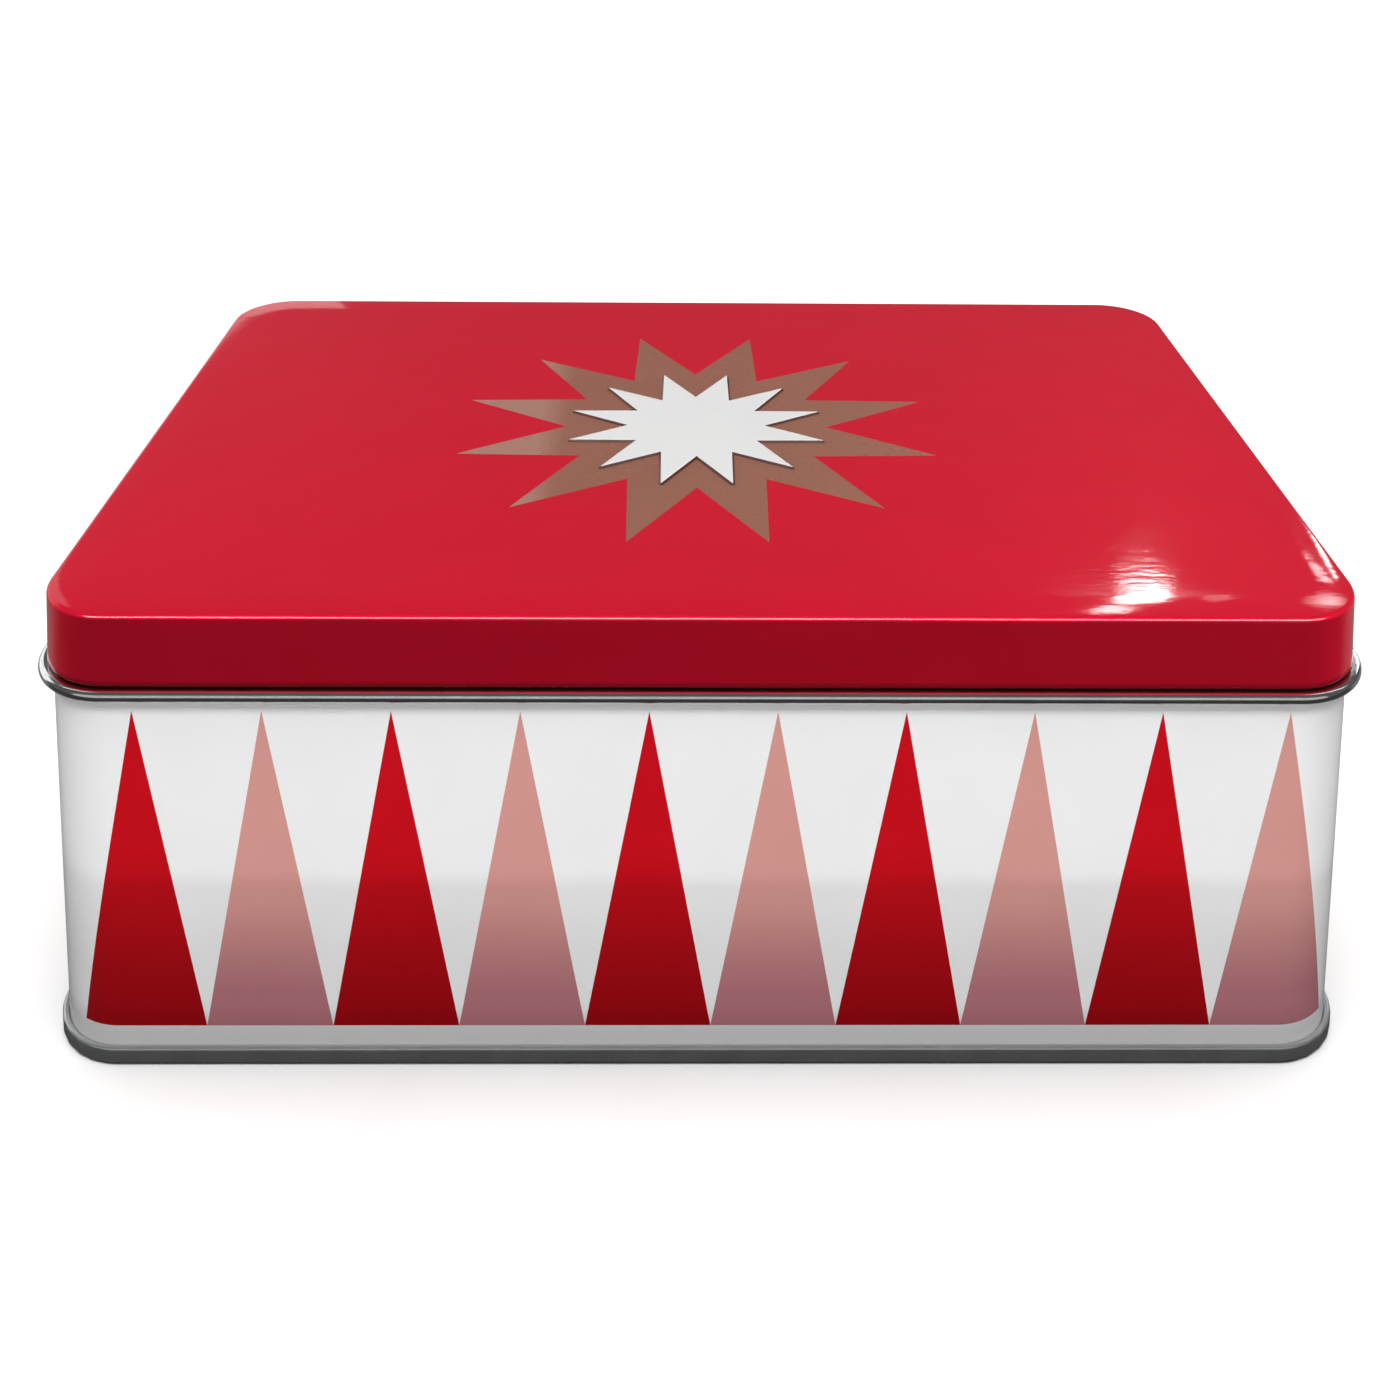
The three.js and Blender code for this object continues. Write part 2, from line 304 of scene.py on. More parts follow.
class Piece:
    """Points, faces and materials of one piece, gathered in millimetres."""

    def __init__(self, name):
        self.name = name
        self.mesh = bmesh.new()
        self.grain = self.mesh.loops.layers.uv.new("Grain")
        self.slots = []

    def slot(self, material):
        if material not in self.slots:
            self.slots.append(material)
        return self.slots.index(material)

    def add_face(self, corners, material, grain):
        """A face between bmesh vertices, with a pair of numbers at each corner for the metal's grain."""
        made = self.mesh.faces.new(corners)
        made.material_index = self.slot(material)
        for loop, pair in zip(made.loops, grain):
            loop[self.grain].uv = (pair[0] * MM, pair[1] * MM)
        return made

    def strip(self, line_at, material_at):
        """A sheet laid out straight: line_at(s) gives the section's (out, z) points in a column at s."""
        lines = [line_at(s) for s in COLUMNS]
        verts = [[self.mesh.verts.new((s, -out, z)) for out, z in line] for s, line in zip(COLUMNS, lines)]
        steps = np.diff(np.array(lines[0]), axis=0)
        lengths = np.concatenate([[0], np.cumsum(np.hypot(*steps.T))])
        for i in range(len(COLUMNS) - 1):
            for j in range(len(lines[0]) - 1):
                corners = (verts[i][j], verts[i + 1][j], verts[i + 1][j + 1], verts[i][j + 1])
                ends = ((i, j), (i + 1, j), (i + 1, j + 1), (i, j + 1))
                grain = [(COLUMNS[column], lengths[row]) for column, row in ends]
                self.add_face(corners, material_at(j), grain)

    def wrap(self):
        """Carries the straight strip round the wall and welds its ends."""
        for v in self.mesh.verts:
            v.co = wrapped(v.co.x, -v.co.y, v.co.z)
        bmesh.ops.remove_doubles(self.mesh, verts=self.mesh.verts, dist=WELD / MM)

    def band(self, low, high, material, up):
        """A row of faces between two outlines of (x, y, z) points."""
        rows = [[self.mesh.verts.new(p) for p in outline] for outline in (low, high)]
        count = len(low)
        for i in range(count):
            k = (i + 1) % count
            corners = [rows[0][i], rows[0][k], rows[1][k], rows[1][i]]
            corners = corners if up else corners[::-1]
            self.add_face(corners, material, [v.co.xy for v in corners])

    def flat(self, loops, material, up):
        """A flat face inside the first outline and round the others."""
        points = [p for loop in loops for p in loop]
        verts = [self.mesh.verts.new(p) for p in points]
        for triple in tessellate_polygon(loops):
            a, b, c = (verts[i] for i in triple)
            faces_up = (b.co.xy - a.co.xy).cross(c.co.xy - a.co.xy) > 0
            corners = (a, b, c) if faces_up == up else (a, c, b)
            self.add_face(corners, material, [v.co.xy for v in corners])

    def finish(self, body, node):
        bmesh.ops.remove_doubles(self.mesh, verts=self.mesh.verts, dist=WELD / MM)
        bmesh.ops.dissolve_degenerate(self.mesh, edges=self.mesh.edges, dist=WELD / MM)
        self.mesh.transform(Matrix.Scale(MM, 4))
        mesh = bpy.data.meshes.new(self.name)
        self.mesh.to_mesh(mesh)
        self.mesh.free()
        mesh.shade_smooth()
        mesh.set_sharp_from_angle(angle=SHARP_ANGLE)
        piece = bpy.data.objects.new(self.name, mesh)
        bpy.context.scene.collection.objects.link(piece)
        for material in self.slots:
            mesh.materials.append(material)
        normals = piece.modifiers.new("Flats stay flat", "WEIGHTED_NORMAL")
        normals.keep_sharp = True
        normals.mode = "FACE_AREA"
        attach(piece, body)
        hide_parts(node)
        return piece


# ---------------------------------------------------------------- materials


class Nodes:
    """Short calls for the nodes of a material, a light or the world. An input takes a socket or a value."""

    def __init__(self, owner, shader="Principled BSDF"):
        owner.use_nodes = True
        self.owner = owner
        self.tree = owner.node_tree
        self.shader = self.tree.nodes[shader]

    def fill(self, node, inputs):
        for name, value in inputs.items():
            socket = node.inputs[name]
            if isinstance(value, bpy.types.NodeSocket):
                self.tree.links.new(value, socket)
            else:
                socket.default_value = value
        return node

    def add(self, kind, settings=(), **inputs):
        node = self.tree.nodes.new("ShaderNode" + kind)
        for name, value in dict(settings).items():
            setattr(node, name, value)
        return self.fill(node, {k.replace("_", " "): v for k, v in inputs.items()})

    def set(self, **inputs):
        self.fill(self.shader, {k.replace("_", " "): v for k, v in inputs.items()})

    def position(self, stretch=(1, 1, 1)):
        """Object coordinates in metres, stretched so that a pattern runs long where stretch is small."""
        source = self.add("TexCoord").outputs["Object"]
        return self.add("Mapping", Vector=source, Scale=stretch).outputs[0]

    def along_sheet(self, stretch=(1, 1, 1)):
        """Distance round the wall and up the sheet, in metres."""
        source = self.add("UVMap", {"uv_map": "Grain"}).outputs[0]
        return self.add("Mapping", Vector=source, Scale=stretch).outputs[0]

    def noise(self, vector, scale, detail=2.0, roughness=0.5):
        node = self.add("TexNoise", Vector=vector, Scale=scale, Detail=detail, Roughness=roughness)
        return node.outputs[0]

    def remap(self, value, low, high, to_low, to_high):
        node = self.add("MapRange", Value=value, From_Min=low, From_Max=high, To_Min=to_low, To_Max=to_high)
        return node.outputs[0]

    def math(self, operation, a, b=0.0):
        node = self.add("Math", {"operation": operation})
        self.fill(node, {0: a, 1: b})
        return node.outputs[0]

    def mix(self, factor, a, b):
        """Colour a where factor is 0 and b where it is 1."""
        node = self.add("Mix", {"data_type": "RGBA"})
        self.fill(node, {0: factor, 6: rgba(a), 7: rgba(b)})
        return node.outputs[2]

    def bump(self, height, distance, normal=None):
        node = self.add("Bump", Height=height, Distance=distance, Strength=1.0)
        if normal is not None:
            self.fill(node, {"Normal": normal})
        return node.outputs[0]


def rgba(colour):
    return colour if isinstance(colour, bpy.types.NodeSocket) else (*colour, 1.0)


def new_material(name):
    return Nodes(bpy.data.materials.new(name))


def fine_scratches(nodes, vector, scale, amount):
    """Sparse hairlines: thin ridges of a stretched noise, from 0 to amount."""
    field = nodes.noise(vector, scale, detail=1.0)
    ridge = nodes.math("ABSOLUTE", nodes.math("SUBTRACT", field, 0.5))
    return nodes.remap(ridge, 0.0, 0.004, amount, 0.0)


def varnish(nodes, orange_peel, sag=4e-5):
    """The gloss coat's surface: orange peel about a millimetre across, over a slow waviness of the sheet."""
    position = nodes.position()
    waves = nodes.bump(nodes.noise(position, 28, detail=1.0), sag)
    return nodes.bump(nodes.noise(nodes.position((0.3, 1, 1)), 900, detail=2.0), orange_peel, waves)


def printed(name, light, dark, roughness, metallic=0.0, orange_peel=6e-6, flake=0.0, foot=None, painted_sheen=None):
    """Ink or lacquer on tinplate under a gloss varnish, a little uneven in colour and in gloss.

    The colour blends to foot's colour between foot's two heights, a painted shade that is full at the lower
    height, and toward the left to a lighter colour, a painted sheen."""
    nodes = new_material(name)
    position = nodes.position()
    cloud = nodes.remap(nodes.noise(position, 60, detail=4.0), 0.35, 0.65, 0, 1)
    colour = nodes.mix(cloud, dark, light)
    # Painted shade: the colour darkens to foot's colour below foot's upper height
    if foot:
        painted_shade_colour, low, high = foot
        height = nodes.add("SeparateXYZ", Vector=position).outputs["Z"]
        colour = nodes.mix(nodes.remap(height, low * MM, high * MM, 1, 0), colour, painted_shade_colour)
    # Painted sheen: the colour turns lighter toward the left
    if painted_sheen:
        across = nodes.add("SeparateXYZ", Vector=position).outputs["X"]
        left = nodes.remap(across, PAINTED_SHEEN_FROM * MM, PAINTED_SHEEN_FULL * MM, 0, 1)
        colour = nodes.mix(left, colour, painted_sheen)
    if flake:
        speck = nodes.remap(nodes.noise(position, 4500, detail=1.0), 0.42, 0.62, 0, flake)
        colour = nodes.mix(speck, colour, tuple(min(1, 1.7 * c) for c in light))
    gloss = nodes.remap(nodes.noise(position, 90, detail=5.0), 0.3, 0.7, roughness * 0.8, roughness * 1.25)
    hairlines = fine_scratches(nodes, nodes.position((40, 900, 900)), 1.0, 0.04)
    coat = varnish(nodes, orange_peel)
    nodes.set(
        Base_Color=colour,
        Metallic=metallic,
        Roughness=INK_ROUGHNESS,
        Specular_IOR_Level=0.0,
        Normal=coat,
        Coat_Weight=1.0,
        Coat_Roughness=nodes.math("ADD", gloss, hairlines),
        Coat_Normal=coat,
    )
    return nodes.owner


def tinplate(name, tone, roughness, metallic, vector_of, stretch):
    """Bare rolled tinplate: fine grain along the rolling direction, cloudy tin and a few rubbed hairlines."""
    nodes = new_material(name)
    grain = nodes.noise(vector_of(nodes, stretch), 1.0, detail=4.0, roughness=0.6)
    cloud = nodes.noise(nodes.position(), 180, detail=5.0)
    shade = nodes.remap(nodes.math("ADD", grain, cloud), 0.7, 1.3, 0, 1)
    dark = tuple(0.86 * c for c in tone)
    rubbed = fine_scratches(nodes, vector_of(nodes, (60, 1500, 1500)), 1.0, 0.08)
    gloss = nodes.remap(cloud, 0.3, 0.7, 0.85 * roughness, 1.2 * roughness)
    waves = nodes.bump(nodes.noise(nodes.position(), 60, detail=2.0), 2e-5)
    nodes.set(
        Base_Color=nodes.mix(shade, dark, tone),
        Metallic=metallic,
        Roughness=nodes.math("ADD", gloss, rubbed),
        Normal=nodes.bump(grain, 1.5e-6, waves),
    )
    return nodes.owner


# The lid's red lacquer, with a painted shade over its hem
LID_RED = printed(
    "lid_lacquer_red", (0.72, 0.005, 0.030), (0.70, 0.005, 0.028), 0.05,
    metallic=0.3, orange_peel=9e-6, foot=((0.10, 0.001, 0.004), LID_LOW.z, LID_LOW.z + HEM_PAINTED_SHADE_BAND),
)
STAR_WHITE = printed("star_white", (0.735, 0.735, 0.725), (0.71, 0.71, 0.71), 0.2)
# Painted shade in the crease round the foot of the raised white star
STAR_CREASE_SHADE = printed("star_crease_painted_shade", (0.085, 0.03, 0.02), (0.075, 0.025, 0.017), 0.35)
# Copper print, with a painted sheen toward its left points
STAR_COPPER = printed(
    "star_copper", (0.545, 0.223, 0.149), (0.53, 0.215, 0.144), 0.26,
    metallic=0.6, flake=0.03, painted_sheen=(0.70, 0.36, 0.28),
)
# White print, with a painted shade along the foot of the wall
PRINT_WHITE = printed(
    "print_white", (0.85, 0.85, 0.85), (0.83, 0.83, 0.83), 0.16,
    foot=((0.70, 0.69, 0.70), *WHITE_PAINTED_SHADE_HEIGHTS),
)
# Red print, with a painted shade that deepens down the wall
PRINT_RED = printed(
    "print_red", (0.74, 0.005, 0.014), (0.71, 0.004, 0.012), 0.2,
    metallic=0.3, foot=((0.42, 0.002, 0.006), *RED_PAINTED_SHADE_HEIGHTS),
)
# Pink print, with a painted shade that deepens down the wall
PRINT_PINK = printed(
    "print_pink", (0.64, 0.30, 0.27), (0.62, 0.29, 0.26), 0.2,
    foot=((0.43, 0.165, 0.19), *PINK_PAINTED_SHADE_HEIGHTS),
)
BRIGHT_TIN = tinplate("bright_tinplate", (0.80, 0.81, 0.82), 0.11, 1.0, Nodes.along_sheet, (25, 2600, 1))
SATIN_TIN = tinplate("satin_tinplate", (0.78, 0.79, 0.80), 0.26, 0.75, Nodes.along_sheet, (25, 2600, 1))
BARE_TIN = tinplate("bare_tinplate", (0.74, 0.745, 0.75), 0.3, 0.9, Nodes.position, (25, 2600, 2600))
SEAM_TIN = tinplate("seam_tinplate", (0.50, 0.51, 0.52), 0.34, 0.8, Nodes.along_sheet, (40, 1800, 1))

# ---------------------------------------------------------------- body wall


def triangle_apexes():
    """Each triangle's tip, as a distance round the wall, and its width. Every side starts at its left end."""
    apexes = []
    for side in range(4):
        count = TRIANGLES[side % 2]
        pitch = PITCHES[side % 2]
        middle = PRINT_SHIFT + side * ROUND / 4
        apexes += [(middle + (i - (count - 1) / 2) * pitch, pitch) for i in range(count)]
    return apexes


def print_triangles(wall):
    """Cuts the triangles' edges into the laid-out wall and inks the faces inside them."""

    def in_band(f):
        centre = f.calc_center_median()
        return f.material_index == 0 and TRIANGLE_LOW < centre.z < TRIANGLE_TOP and abs(centre.y) < HALF_SHEET

    inks = [wall.slot(PRINT_RED), wall.slot(PRINT_PINK)]
    for i, (apex, pitch) in enumerate(triangle_apexes()):
        for middle in (apex, apex - ROUND):
            if abs(middle) > (ROUND + pitch) / 2:
                continue
            near = [f for f in wall.mesh.faces if in_band(f)]
            near = [f for f in near if abs(f.calc_center_median().x - middle) < pitch]
            for side in (-1, 1):
                foot = Vector((middle + side * pitch / 2, 0, TRIANGLE_LOW))
                tip = Vector((middle, 0, TRIANGLE_TOP))
                across = (tip - foot).cross(Vector((0, 1, 0))) * side
                near = [f for f in near if f.is_valid]
                geometry = near + list({e for f in near for e in f.edges})
                geometry += list({v for f in near for v in f.verts})
                cut = bmesh.ops.bisect_plane(
                    wall.mesh, geom=geometry, plane_co=foot, plane_no=across, dist=1e-5
                )
                near = [g for g in cut["geom"] if isinstance(g, bmesh.types.BMFace)]
            for f in near:
                centre = f.calc_center_median()
                share = (TRIANGLE_TOP - centre.z) / (TRIANGLE_TOP - TRIANGLE_LOW)
                if in_band(f) and abs(centre.x - middle) < share * pitch / 2:
                    f.material_index = inks[i % 2]


def body_wall():
    wall = Piece("body_wall_sheet")
    wall_out = -HALF_SHEET
    hook_out = wall_out + 2 * LAYER
    hook_bend_z = LAYER + HALF_SHEET + LAYER
    curl_centre = CURL_OUT - HALF_SHEET - CURL_RADIUS
    bend_z = CURL_TOP_HEIGHT - HALF_SHEET - CURL_BEND_RADIUS
    path = walk(
        hook_out, WALL_HOOK_TOP, -90,
        go(WALL_HOOK_TOP - hook_bend_z),
        turn(-180, LAYER),
        go(LOCK_LOW - hook_bend_z),
        go(LOCK_RAMP),
        go(TRIANGLE_LOW - LOCK_LOW - LOCK_RAMP),
        go(LOCK_TOP - LOCK_RAMP - TRIANGLE_LOW, 8),
        go(LOCK_RAMP),
        go(TRIANGLE_TOP - LOCK_TOP, 2),
        go(bend_z - TRIANGLE_TOP),
        turn(-90, CURL_BEND_RADIUS),
        go(curl_centre - wall_out - CURL_BEND_RADIUS),
        turn(-180, CURL_RADIUS),
        go(CURL_TUCK_RADIUS),
        turn(-CURL_TUCK_ANGLE, CURL_TUCK_RADIUS),
    )

    def line_at(s):
        distance = seam_distance(s)
        groove = GROOVE_DEPTH * (1 - ramp(distance, 0, GROOVE_HALF_WIDTH))
        lock = LOCK_RISE * (1 - ramp(distance, LOCK_HALF_WIDTH, LOCK_RAMP))
        outer = face(path, -1, -groove)
        inner = face(path, 1, -groove)
        bulge = [lock * ramp(z, LOCK_LOW, LOCK_RAMP) * ramp(-z, -LOCK_TOP, LOCK_RAMP) for out, z in inner]
        inner = [(out - b, z) for (out, z), b in zip(inner, bulge)]
        pinch = corner_share(s) * wave(s, *MOUTH_PINCH)
        inner = [(out + pinch * ramp(z, bend_z, 1), z) for out, z in inner]
        return outer + inner[::-1] + outer[:1]

    count = len(path)
    curl_start = next(i for i, p in enumerate(path) if p[1] > TRIANGLE_TOP)

    def material_at(j):
        if j < count - 1:
            return PRINT_WHITE
        return BRIGHT_TIN if j < 2 * count - curl_start else SATIN_TIN

    wall.strip(line_at, material_at)
    print_triangles(wall)
    wall.wrap()
    return wall.finish("tin", "body_wall")


# ---------------------------------------------------------------- collar, base


def neck_ring():
    ring = Piece("neck_collar")
    top = NECK_HIGH.z - HALF_SHEET - NECK_HEM_RADIUS
    path = walk(
        -HALF_SHEET - LAYER, NECK_LOW.z, 90,
        go(top - NECK_LOW.z, 4),
        turn(180, NECK_HEM_RADIUS),
        go(NECK_HEM_HEIGHT),
    )

    def line_at(s):
        groove = GROOVE_DEPTH * (1 - ramp(seam_distance(s), 0, GROOVE_HALF_WIDTH))
        outer = face(path, -1, -groove)
        inner = face(path, 1, -groove)
        return outer + inner[::-1] + outer[:1]

    ring.strip(line_at, lambda j: SATIN_TIN)
    ring.wrap()
    return ring.finish("tin", "neck_ring")


def bottom_panel():
    base = Piece("base_panel")
    inner_out = -HALF_SHEET - LAYER
    rim_out = inner_out + 4 * LAYER
    cover_z = SEAM_HEIGHT - HALF_SHEET - LAYER
    step = math.radians(BASE_STEP_ANGLE)
    step_reach = 2 * BASE_STEP_RADIUS * math.sin(step)
    step_drop = 2 * BASE_STEP_RADIUS * (1 - math.cos(step))
    shelf_z = BASE_HEIGHT + HALF_SHEET
    start_out = inner_out - BASE_BEND_RADIUS - BASE_SHELF_WIDTH - step_reach - BASE_RIM_WIDTH
    path = walk(
        start_out, shelf_z + step_drop, 0,
        go(BASE_RIM_WIDTH),
        turn(-BASE_STEP_ANGLE, BASE_STEP_RADIUS),
        turn(BASE_STEP_ANGLE, BASE_STEP_RADIUS),
        go(BASE_SHELF_WIDTH),
        turn(-90, BASE_BEND_RADIUS),
        go(shelf_z - BASE_BEND_RADIUS - HALF_SHEET - SEAM_BEND_RADIUS),
        turn(90, SEAM_BEND_RADIUS),
        go(rim_out - inner_out - 2 * SEAM_BEND_RADIUS),
        turn(90, SEAM_BEND_RADIUS),
        go(cover_z - HALF_SHEET - SEAM_BEND_RADIUS, 3),
        turn(180, LAYER),
        go(cover_z - COVER_HOOK_LOW),
    )

    def line_at(s):
        crossing = SEAM_CROSSING_SWELL * (1 - ramp(seam_distance(s), 1.5, 3))
        swell = crossing + corner_share(s) * (SEAM_CORNER_SWELL + wave(s, *SEAM_RIPPLE))
        lower = [(out + swell * ramp(out, 0.7, 0.3), z) for out, z in face(path, -1)]
        return lower + face(path, 1)[::-1]

    flat_start = next(i for i, p in enumerate(path) if p[0] >= inner_out)
    count = len(path)
    base.strip(line_at, lambda j: SEAM_TIN if flat_start <= j < 2 * count - flat_start else BARE_TIN)
    base.wrap()
    for side, up in ((-1, False), (1, True)):
        out, z = face(path, side)[0]
        base.flat([[wrapped(s, out, z) for s in COLUMNS[:-1]]], BARE_TIN, up)
    return base.finish("tin", "bottom_panel")


# ---------------------------------------------------------------- lid


def star(tip_radius, valley_share, inset, z):
    """A star's outline moved inwards by inset. The small fillets at its tips and valleys follow the inset."""
    half = math.pi / STAR_POINTS
    valley_radius = tip_radius * valley_share
    tip = Vector((tip_radius, 0))
    valley = Vector((valley_radius * math.cos(half), valley_radius * math.sin(half)))
    edge_distance = abs(tip.cross(valley)) / (tip - valley).length
    scale = 1 - inset / edge_distance
    corners = []
    for i in range(2 * STAR_POINTS):
        radius = scale * (tip_radius if i % 2 else valley_radius)
        corners.append(STAR_CENTRE + radius * Vector((math.cos(i * half), math.sin(i * half))))
    outline = []
    for i, corner in enumerate(corners):
        fillet = max(STAR_FILLET + (-inset if i % 2 else inset), SMALLEST_FILLET)
        before = (corners[i - 1] - corner).normalized()
        after = (corners[(i + 1) % len(corners)] - corner).normalized()
        half_angle = before.angle(after) / 2
        centre = corner + (before + after).normalized() * fillet / math.sin(half_angle)
        first = corner + before * fillet / math.tan(half_angle) - centre
        last = corner + after * fillet / math.tan(half_angle) - centre
        sweep = first.angle_signed(last)
        for step in range(FILLET_STEPS + 1):
            turned = Matrix.Rotation(-sweep * step / FILLET_STEPS, 2) @ first
            outline.append((*(centre + turned), z))
    return outline


def star_profile():
    """The raised star's middle line, from outside the white's edge up to the crest: (inset, z, slope)."""
    rows = []
    for i in range(SLOPE_STEPS + 1):
        t = i / SLOPE_STEPS
        inset = STAR_SLOPE_WIDTH * t - STAR_FOOT_WIDTH
        rise = STAR_RISE * (1 - math.cos(math.pi * t)) / 2
        steepness = STAR_RISE * math.pi * math.sin(math.pi * t) / 2 / STAR_SLOPE_WIDTH
        rows.append((inset, TOP_HEIGHT - HALF_SHEET + rise, math.atan(steepness)))
    return rows


def lid():
    cover = Piece("lid_cover")
    crown = math.radians(CROWN_ANGLE)
    draft = math.radians(SKIRT_DRAFT)
    start_out, start_z = -PANEL_INSET, TOP_HEIGHT - HALF_SHEET
    hem_out = LID_OUT - HALF_SHEET - LID_HEM_RADIUS
    hem_z = LID_LOW.z + HALF_SHEET + LID_HEM_RADIUS
    foot_out = hem_out + LID_HEM_RADIUS * math.cos(draft)
    foot_z = hem_z + LID_HEM_RADIUS * math.sin(draft)
    crown_radius = CROWN_WIDTH / crown
    shoulder_drop = SHOULDER_RADIUS * (math.cos(crown) - math.sin(draft))
    shoulder_reach = SHOULDER_RADIUS * (math.cos(draft) - math.sin(crown))
    skirt_drop = start_z - crown_radius * (1 - math.cos(crown)) - shoulder_drop - foot_z
    top_reach = foot_out - skirt_drop * math.tan(draft) - shoulder_reach - start_out
    path = walk(
        start_out, start_z, 0,
        go(top_reach - crown_radius * math.sin(crown)),
        [(crown_radius, -CROWN_ANGLE / CROWN_STEPS)] * CROWN_STEPS,
        turn(CROWN_ANGLE + SKIRT_DRAFT - 90, SHOULDER_RADIUS),
        go(skirt_drop / math.cos(draft), 5),
        turn(-180 - SKIRT_DRAFT, LID_HEM_RADIUS),
        go(LID_HEM_HEIGHT),
    )

    def line_at(s):
        swing = sum(wave(s, *settings) for settings in SKIRT_WAVES)
        swing += corner_share(s) * wave(s, *SKIRT_CORNER_WAVE)

        def waved(points):
            return [(out + swing * ramp(start_z - z, 1.5, 4), z) for out, z in points]

        return waved(face(path, -1)) + waved(face(path, 1))[::-1]

    count = len(path)
    cover.strip(line_at, lambda j: LID_RED if j >= count else BARE_TIN)
    cover.wrap()
    profile = star_profile()
    # The panel's lacquer and inks, and the painted crease shade
    inks_and_crease_shade = (LID_RED, STAR_COPPER, STAR_CREASE_SHADE, STAR_WHITE)
    for side, up, inks in ((1, True, inks_and_crease_shade), (-1, False, (BARE_TIN,) * 4)):
        edge_out, edge_z = face(path, side)[0]
        rows = []
        for inset, z, slope in profile:
            reach = side * HALF_SHEET
            inset -= reach * math.sin(slope)
            z += reach * math.cos(slope)
            rows.append(star(WHITE_TIP_RADIUS, WHITE_VALLEY_SHARE, inset, z))
        edge = [wrapped(s, edge_out, edge_z) for s in COLUMNS[:-1]]
        print_edge = star(COPPER_TIP_RADIUS, COPPER_VALLEY_SHARE, 0, edge_z)
        cover.flat([edge, print_edge], inks[0], up)
        cover.flat([print_edge, rows[0]], inks[1], up)
        for (inset, _, _), low, high in zip(profile, rows, rows[1:]):
            # Below the white's edge the slope carries the painted crease shade
            cover.band(low, high, inks[3] if inset > -WELD else inks[2], up)
        cover.flat([rows[-1]], inks[3], up)
    return cover.finish("lid", "lid")


TIN = [body_wall(), neck_ring(), bottom_panel()]
LID = lid()

# ---------------------------------------------------------------- sizes of the stage, in metres

ALL = TIN + [LID]

# The viewpoint: a wide lens, almost level, whose frame is shifted down to the tin
CAMERA_PLACE = Vector((-0.00387, -0.29921, 0.20968))
CAMERA_TURN = -0.0136
CAMERA_PITCH = -0.1428
CAMERA_ROLL = 0.01
CAMERA_LENS = 43.57
CAMERA_SENSOR = 36
LENS_SHIFTS = (("shift_x", -0.0048), ("shift_y", -0.548))
SHIFT_HOLDS = 0.001
SHIFT_ENDS = 0.002

FLOOR_HALF = 8.0
FLOOR_WHITE = 0.93
FLOOR_BEFORE = 0.03
FLOOR_BEHIND = 0.15
FLOOR_BLEND = 0.06
FLAG_GAP = 0.016
FLAG_HEIGHT = 0.031
ROOM_LEVEL = 0.1
FLOOR_LIGHT = 4.4
FLOOR_LIGHT_ANGLE = math.radians(80)

# The tin's side lights: name, direction, and how bright
SIDES = (
    ("front", 0.05, -1, 1.08),
    ("back", 0, 1, 0.25),
    ("right", 0.8, 0.6, 0.75),
    ("left", -0.93, 0.37, 0.62),
)

# Each is a stack of softboxes: name, distance out, height, depth, and two radiances, of which the flag
# shades the second
SIDE_BOXES = (
    ("_high", 0.6, 0.79, 0.2, 3.0, 9.3),
    ("_middle", 0.9, 0.46, 0.42, 1.85, 0.65),
    ("_low", 0.9, 0.055, 0.14, 0, 2.9),
)
SIDE_WIDTH = 0.9

# Softboxes that are never seen mirrored: name, place, size, radiance
TIN_BOXES = (("overhead", (0.08, -0.15, 0.75), (0.6, 0.45), 3.5),)
LID_BOXES = (
    ("overhead_lid", (0.0, -0.07, 0.75), (0.6, 0.45), 5.8),
    ("front_lid", (0.16, -0.5, 0.1), (0.35, 0.3), 1.95),
    ("back_lid", (0, 0.9, 0.16), (0.9, 0.42), 2.6),
    ("right_lid", (0.9, 0, 0.16), (0.9, 0.42), 5.4),
    ("left_lid", (-0.9, 0, 0.16), (0.9, 0.42), 4.4),
)
BOX_TARGET = (0, 0, 0.05)

# Softboxes that are only seen mirrored: name, place, size, radiance, and the point they face
CEILING = ("ceiling", (0.3, -1.15, 1.1), (3.2, 0.5), 13.0, (0.3, 0, 0.07))
TIN_PANELS = (
    ("tin_ceiling", (0.3, 0.3, 1.4), (3.2, 0.3), 1.0, (0.3, 0.3, 0)),
    ("front_panel", (0, -0.9, 0.36), (2.4, 0.9), 0.42, (0, 0, 0.36)),
    ("left_panel", (-1.486, 1.027, 0.7), (1.875, 1.4), 1.1, (0, 0, 0.7)),
    ("right_panel", (1.0, 1.6, 0.55), (1.4, 1.0), 1.6, (0, 0, 0.07)),
)
LID_PANELS = (
    ("left_lid_panel", (-1.486, 1.027, 0.7), (1.875, 1.4), 0.6, (0, 0, 0.7)),
    ("left_lid_strip", (-0.68, 1.67, 0.33), (0.55, 0.66), 0.8, (0, 0, 0.33)),
)

